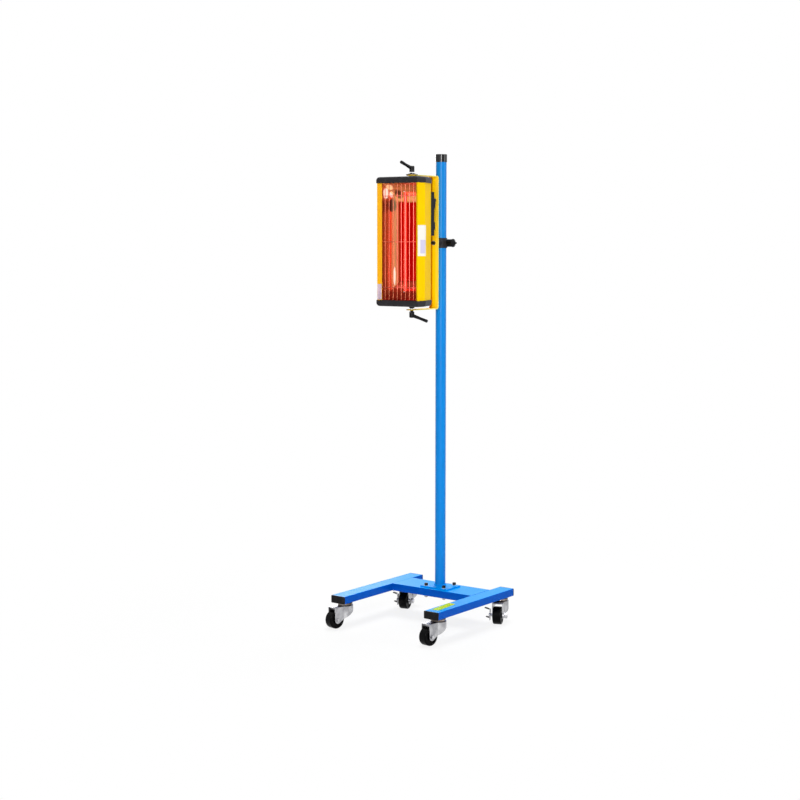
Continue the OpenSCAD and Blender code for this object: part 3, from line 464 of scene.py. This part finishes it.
# Wheels: hard black rubber moulded round a plain bearing, satin all over, with patches of dull
# dust from the floor.
def wheel_rubber():
    material, place = new_finish("wheel_rubber")
    grain = noise(place, 700, 3.0)
    dust = step(noise(place, 40, 5.0), 0.55, 0.85)
    surface(place, Base_Color=blend_tints(dust, tint(8, 8, 9), tint(34, 32, 31)),
            Roughness=0.3 + dust * 0.25, Normal=relief(grain, 0.00004), Specular_IOR_Level=0.06)
    return material


dress(wheel_rubber(), *["wheel_" + corner for corner in corners])


# Yoke, lamp housing and its inner end plates: folded sheet with a warm yellow powder coat. A
# painted shade deepens it on the housing's left lip and along the yoke's left side, and painted
# light makes it paler towards the yoke's other side, with a painted highlight on its cut edge.
def powder_coat(name, deep, light, painted_tones):
    """A coat with painted tones of light and shade over it, each a function of the place and a
    tint.
    """
    material, place = new_finish(name)
    peel = noise(place, 700, 1.0)
    drift = noise(place, 9, 3.0)
    colour = blend_tints(drift, deep, light)
    for mask, painted_tone in painted_tones:
        colour = blend_tints(mask(place), colour, painted_tone)
    surface(place, Base_Color=colour, Roughness=0.42 + drift * 0.08,
            Normal=relief(peel, 0.00002), Specular_IOR_Level=0.03)
    return material


# Painted shade: the lamp's shadow along the yoke's left side.
def yoke_left(place):
    return 1 - step(along(place, 0), -0.0090, -0.0030)


# Painted light: a paler yellow towards the yoke's right side.
def yoke_right(place):
    return step(along(place, 0), 0.0040, 0.0100)


# Painted highlight along the yoke's cut edge.
def yoke_edge(place):
    return step(along(place, 0), 0.0186, 0.0189)


# Painted shade: a deeper orange on the housing's left lip.
def left_lip(place):
    x = along(place, 0)
    in_front = 1 - step(along(place, 1), -0.2512, -0.2508)
    return in_front * step(x, -0.0859, -0.0855) * (1 - step(x, -0.072, -0.070))


yellow, deep_yellow = tint(254, 206, 6), tint(248, 198, 0)
# The tones over the yoke's coat are painted shade, painted light and a painted highlight.
yoke_coat = powder_coat("yoke_coat", deep_yellow, yellow,
                        [(yoke_left, tint(200, 120, 0)), (yoke_right, tint(250, 206, 60)),
                         (yoke_edge, tint(240, 226, 120))])
dress(yoke_coat, "yoke")
# The housing's coat has a painted shade on its left lip.
lamp_coat = powder_coat("lamp_coat", deep_yellow, yellow, [(left_lip, tint(226, 164, 26))])
dress(lamp_coat, "lamp_housing", "end_plates")


# Blank labels on the lamp: a white one that wraps over the crease of the right wall, with a
# plain pale panel, and a lilac one near the bottom of the left lip.
def two_tone_film(name, colour, panel, low, high):
    """A film with a panel of another tint between two corners, measured along Y and Z."""
    material, place = new_finish(name)
    fibre = noise(place, 1500, 2.0)
    y, z = along(place, 1), along(place, 2)
    soft = 0.0008
    inside = (step(y, low[0], low[0] + soft) * (1 - step(y, high[0], high[0] + soft))
              * step(z, low[1], low[1] + soft) * (1 - step(z, high[1], high[1] + soft)))
    surface(place, Base_Color=blend_tints(inside, colour, panel), Roughness=0.4 + fibre * 0.1,
            Normal=relief(fibre, 0.00001), Specular_IOR_Level=0.3)
    return material


wall_label_middle = (0.12, -0.2335, 1.3680)
wall_label_across, wall_label_up = (0, 0.0270, 0), (0, 0, 0.0525)
panel_low, panel_high = (-0.2460, 1.3240), (-0.2140, 1.3700)
crease_y, crease_half = -0.22, 0.0005
wall_label = card(wall_label_middle, wall_label_across, wall_label_up, corner_r=0.002,
                  fold_ys=(crease_y, crease_y + crease_half, crease_y - crease_half))
lay_on(wall_label, "lamp_housing", (-1, 0, 0), 2 * film_lift)
bmesh.ops.solidify(wall_label, geom=wall_label.faces[:], thickness=-film_t)
white_film = two_tone_film("white_film", tint(242, 238, 228), tint(206, 200, 226),
                           panel_low, panel_high)
add_piece("wall_label", wall_label, white_film, "lamp")

lip_label_middle = (-0.0800, -0.28, 1.1915)
lip_label_across, lip_label_up = (0.0056, 0, 0), (0, 0, 0.0270)
lip_label = card(lip_label_middle, lip_label_across, lip_label_up, corner_r=0.0012)
lay_on(lip_label, "lamp_housing", (0, 1, 0), film_lift)
bmesh.ops.solidify(lip_label, geom=lip_label.faces[:], thickness=-film_t)
lilac_film = film("lilac_film", tint(184, 164, 178), tint(204, 186, 198))
add_piece("lip_label", lip_label, lilac_film, "lamp")


# Heater: a trough of polished aluminium with rolling streaks along it. Its colour and glow are
# painted light of the lit lamp, red at its back, with painted shade in the crease there and
# painted bright and dark reflections on its side walls. Across each end stands a mirror of the
# same sheet at 45 degrees, the upper one painted lighter.
trough_front, trough_back = -0.2503, -0.1840


def patch(place, y, z, half_y, half_z):
    """A soft oval of painted reflection on the side walls, with a ragged rim."""
    away = place.node("Mapping", sockets={"Vector": place, "Scale": (0, 1 / half_y, 1 / half_z),
                                          "Location": (0, -y / half_y, -z / half_z)})
    away = away.node("VectorMath", {"operation": "LENGTH"}, {0: away}, "Value")
    return 1 - step(away + noise(place, 120, 3.0) * 0.5, 1.0, 1.3)


# Painted light and shade: the lamp's warm light on the walls, red at the back, with a painted
# dark shade in the crease.
# From the mouth of the trough, 0, to its back, 1.
painted_wall_light_stops = [(0.0, tint(196, 122, 88)), (0.5, tint(206, 136, 98)), (0.72, tint(224, 176, 134)),
              (0.93, tint(220, 166, 126)), (0.97, tint(60, 4, 2)), (0.985, tint(100, 6, 4))]
# Painted light: the reflector glows as if lit by the lamp, though it is no lamp.
painted_glow_stops = [(0.0, tint(40, 8, 6)), (0.5, tint(60, 34, 24)), (0.62, tint(124, 104, 76)),
              (0.86, tint(124, 104, 76)), (0.93, tint(60, 8, 4)), (0.97, tint(90, 0, 0)),
              (0.985, tint(152, 0, 0))]
# Painted reflection: a dark patch on the left side wall.
painted_dark_reflection = (-0.2140, 1.4900, 0.0180, 0.0240)
# Painted reflections: bright spots of emission on the side walls.
painted_bright_reflections = [(-0.2370, 1.5310, 0.0100, 0.0200), (-0.2170, 1.5270, 0.0070, 0.0110),
                  (-0.2050, 1.2450, 0.0045, 0.0340)]


def trough_metal():
    material, place = new_finish("bright_aluminium")
    y = along(place, 1)
    depth = y.node("MapRange", sockets={"Value": y, "From Min": trough_front,
                                        "From Max": trough_back})
    streaks = noise(place, 90, 4.0, (1, 1, 0.03))
    dents = noise(place, 16, 2.0, (1, 1, 0.4))
    wall = depth.node("ValToRGB", {"stops": painted_wall_light_stops}, {0: depth})
    wall = blend_tints(step(streaks, 0.5, 0.62) * 0.35, wall, tint(120, 54, 40))
    # A painted dark reflection on the side wall.
    wall = blend_tints(patch(place, *painted_dark_reflection), wall, tint(60, 16, 20))
    # Emission painted as the lamp's light on the trough, with painted bright reflections.
    glow = depth.node("ValToRGB", {"stops": painted_glow_stops}, {0: depth})
    for painted_bright_reflection in painted_bright_reflections:
        glow = blend_tints(patch(place, *painted_bright_reflection), glow, tint(232, 214, 204))
    surface(place, Base_Color=wall, Metallic=1.0, Roughness=0.1 + streaks * 0.14,
            Emission_Color=glow, Emission_Strength=1.0,
            Normal=relief(streaks * 0.3 + dents, 0.002))
    return material


def end_metal():
    material, place = new_finish("end_aluminium")
    # Painted light: the upper mirror is painted lighter than the lower one.
    painted_light_above = step(along(place, 2), 1.30, 1.42)
    streaks = noise(place, 60, 3.0, (1, 0.2, 0.2))
    surface(place, Base_Color=blend_tints(painted_light_above, tint(176, 80, 66), tint(255, 216, 172)),
            Metallic=1.0, Roughness=0.08 + streaks * 0.08, Normal=relief(streaks, 0.0004))
    return material


dress(trough_metal(), "reflector")
dress(end_metal(), "end_mirrors")


# Lamp: a coiled tungsten wire glows inside a ruby-coloured quartz tube, whose ends sit in white
# ceramic. The coil is one wire wound along the whole tube.
def glowing(name, colour, emission, strength, alpha):
    material, place = new_finish(name)
    cloud = noise(place, 50, 2.0)
    surface(place, Base_Color=colour, Roughness=0.08, Emission_Strength=strength, Alpha=alpha,
            Emission_Color=blend_tints(cloud, emission, tint(255, 60, 40)))
    return material


ruby_quartz = glowing("ruby_quartz", tint(110, 4, 4), tint(220, 0, 0), strength=1.0, alpha=0.5)
dress(ruby_quartz, "quartz_tube")

tube_low, tube_high = 1.1889, 1.5385
tube_y = -0.2145
coil_r, coil_wire_r = 0.0023, 0.00055
coil_pitch = 0.0024
coil_turns = int((tube_high - tube_low) / coil_pitch)
turn_steps = 12
coil = bmesh.new()
bmesh.ops.create_circle(coil, segments=6, radius=coil_wire_r)
bmesh.ops.rotate(coil, verts=coil.verts, matrix=Matrix.Rotation(math.pi / 2, 3, "X"))
bmesh.ops.translate(coil, verts=coil.verts, vec=(coil_r, tube_y, tube_low + coil_wire_r))
low_rim = coil.edges[:]
wound = bmesh.ops.spin(coil, geom=low_rim, cent=(0, tube_y, 0), axis=(0, 0, 1),
                       angle=2 * math.pi * coil_turns, dvec=(0, 0, coil_pitch / turn_steps),
                       steps=turn_steps * coil_turns)
high_rim = [item for item in wound["geom_last"] if isinstance(item, bmesh.types.BMEdge)]
bmesh.ops.edgeloop_fill(coil, edges=low_rim)
bmesh.ops.edgeloop_fill(coil, edges=high_rim)
hot_tungsten = glowing("hot_tungsten", tint(255, 160, 130), tint(255, 214, 200),
                       strength=3.0, alpha=1.0)
hot_coil = add_piece("coil", coil, hot_tungsten, "lamp")
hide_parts("filament")
dress(hot_tungsten, "filament")


def ceramic():
    material, place = new_finish("ceramic")
    pores = noise(place, 1200, 4.0)
    surface(place, Base_Color=blend_tints(pores, tint(216, 210, 196), tint(236, 232, 220)),
            Roughness=0.62, Normal=relief(pores, 0.00004))
    return material


dress(ceramic(), "tube_ends", "tube_holders")


# Guard in front of the heater: eight bright round wires in the mouth of the trough, and three
# behind and across them, welded where they cross. The lamp's red light on them is painted into
# their colour, with painted shade on the left and at their ends, past the lamp.
guard_wire_r = 0.00125
guard_count, guard_pitch = 8, 0.01734
guard_y, cross_y = -0.24965, -0.24745
guard_middle = 1.3637
guard_half_h, guard_half_w = 0.1985, 0.0706
cross_rise = 0.157
guard = bmesh.new()


def guard_wire(middle, half, run):
    place = Matrix.Translation(middle) @ Vector(run).to_track_quat("Z", "Y").to_matrix().to_4x4()
    bmesh.ops.create_cone(guard, cap_ends=True, segments=16, radius1=guard_wire_r,
                          radius2=guard_wire_r, depth=2 * half, matrix=place)


for count in range(guard_count):
    wire_x = (count - (guard_count - 1) / 2) * guard_pitch
    guard_wire((wire_x, guard_y, guard_middle), guard_half_h, (0, 0, 1))
for rise in (-cross_rise, 0, cross_rise):
    guard_wire((0, cross_y, guard_middle + rise), guard_half_w, (1, 0, 0))
rims = [edge for edge in guard.edges if any(len(face.verts) > 4 for face in edge.link_faces)]
bmesh.ops.bevel(guard, geom=rims, affect="EDGES", offset=0.0004, segments=2, profile=0.5,
                material=-1)


def guard_finish():
    material, place = new_finish("bright_wire")
    grain = noise(place, 900, 3.0)
    painted_shade_left = 1 - step(along(place, 0), -0.030, 0.006)
    height = along(place, 2) - guard_middle
    painted_shade_past_lamp = step(height.maths("ABSOLUTE", height), 0.155, 0.175)
    # Painted light: the lamp's red on the bright wires, with painted shade on the left and past
    # the lamp.
    colour = blend_tints(painted_shade_left, tint(240, 104, 92), tint(180, 94, 72))
    surface(place, Base_Color=blend_tints(painted_shade_past_lamp * 0.85, colour, tint(150, 88, 64)),
            Metallic=1.0, Roughness=0.3 + grain * 0.1, Normal=relief(grain, 0.00001))
    return material


bright_wire = guard_finish()
wire_guard = add_piece("wire_guard", guard, bright_wire, "lamp")
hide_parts("grille")
dress(bright_wire, "grille")


# Marks on the controls, printed white: the scale of the timer, 0 to 60 minutes over 300
# degrees, and the two signs on the rocker.
print_white, print_place = new_finish("print_white")
ink = noise(print_place, 900, 3.0)
surface(print_place, Base_Color=blend_tints(ink, tint(226, 226, 222), tint(244, 244, 240)),
        Roughness=0.5, Normal=relief(ink, 0.000005))
mark_t, mark_lift = 0.0001, 0.00005
dial_x, dial_z, box_back = 0.030, 1.4187, -0.1125
scale_r = 0.0196
tick_w, tick_h = 0.0004, 0.0013
number_h = 0.0034


def facing_back(x, y, z):
    """Stands a flat mark up on the back of the lamp, so that it reads from behind."""
    return Matrix(((-1, 0, 0, x), (0, 0, 1, y), (0, 1, 0, z), (0, 0, 0, 1)))


def add_number(shape, text):
    """Adds flat figures round the origin, and returns their points."""
    number = bpy.data.curves.new("number", "FONT")
    number.body = text
    number.size = number_h
    number.align_x = "CENTER"
    number.align_y = "CENTER"
    holder = bpy.data.objects.new("number", number)
    known = len(shape.verts)
    shape.from_mesh(bpy.data.meshes.new_from_object(holder))
    shape.verts.ensure_lookup_table()
    bpy.data.objects.remove(holder)
    return shape.verts[known:]


timer_scale = bmesh.new()
for minutes in range(0, 65, 5):
    turn = math.radians(minutes * 5)
    place = facing_back(dial_x - scale_r * math.sin(turn), box_back + 0.00002,
                        dial_z + scale_r * math.cos(turn))
    if minutes % 15:
        made = bmesh.ops.create_grid(timer_scale, x_segments=1, y_segments=1, size=0.5)["verts"]
        place = place @ Matrix.Rotation(-turn, 4, "Z") @ Matrix.Diagonal((tick_w, tick_h, 1, 1))
    else:
        made = add_number(timer_scale, str(minutes))
    bmesh.ops.transform(timer_scale, matrix=place, verts=made)
bmesh.ops.solidify(timer_scale, geom=timer_scale.faces[:], thickness=-mark_t)
add_piece("timer_scale", timer_scale, print_white, "lamp")

bar_w, bar_h = 0.0009, 0.0050
sign_rise = 0.0095
circle_r, circle_grows = 0.0018, 1.5
rocker_z, behind_rocker = 1.4937, -0.06
signs = bmesh.new()
bmesh.ops.create_grid(signs, x_segments=1, y_segments=4, size=0.5)
bmesh.ops.transform(signs, matrix=Matrix.Diagonal((bar_w, bar_h, 1, 1)), verts=signs.verts)
bmesh.ops.translate(signs, verts=signs.verts, vec=(0, sign_rise, 0))
circle = bmesh.ops.create_circle(signs, segments=32, radius=circle_r)["verts"]
grown = bmesh.ops.extrude_edge_only(signs, edges=own_edges(circle))["geom"]
outer = [item for item in grown if isinstance(item, bmesh.types.BMVert)]
bmesh.ops.scale(signs, vec=(circle_grows, circle_grows, 1), verts=outer)
bmesh.ops.translate(signs, verts=circle + outer, vec=(0, -sign_rise, 0))
bmesh.ops.transform(signs, matrix=facing_back(dial_x, behind_rocker, rocker_z),
                    verts=signs.verts)
lay_on(signs, "rocker", (0, -1, 0), mark_lift)
bmesh.ops.solidify(signs, geom=signs.faces[:], thickness=-mark_t)
add_piece("rocker_signs", signs, print_white, "rocker")


bpy.context.view_layer.update()
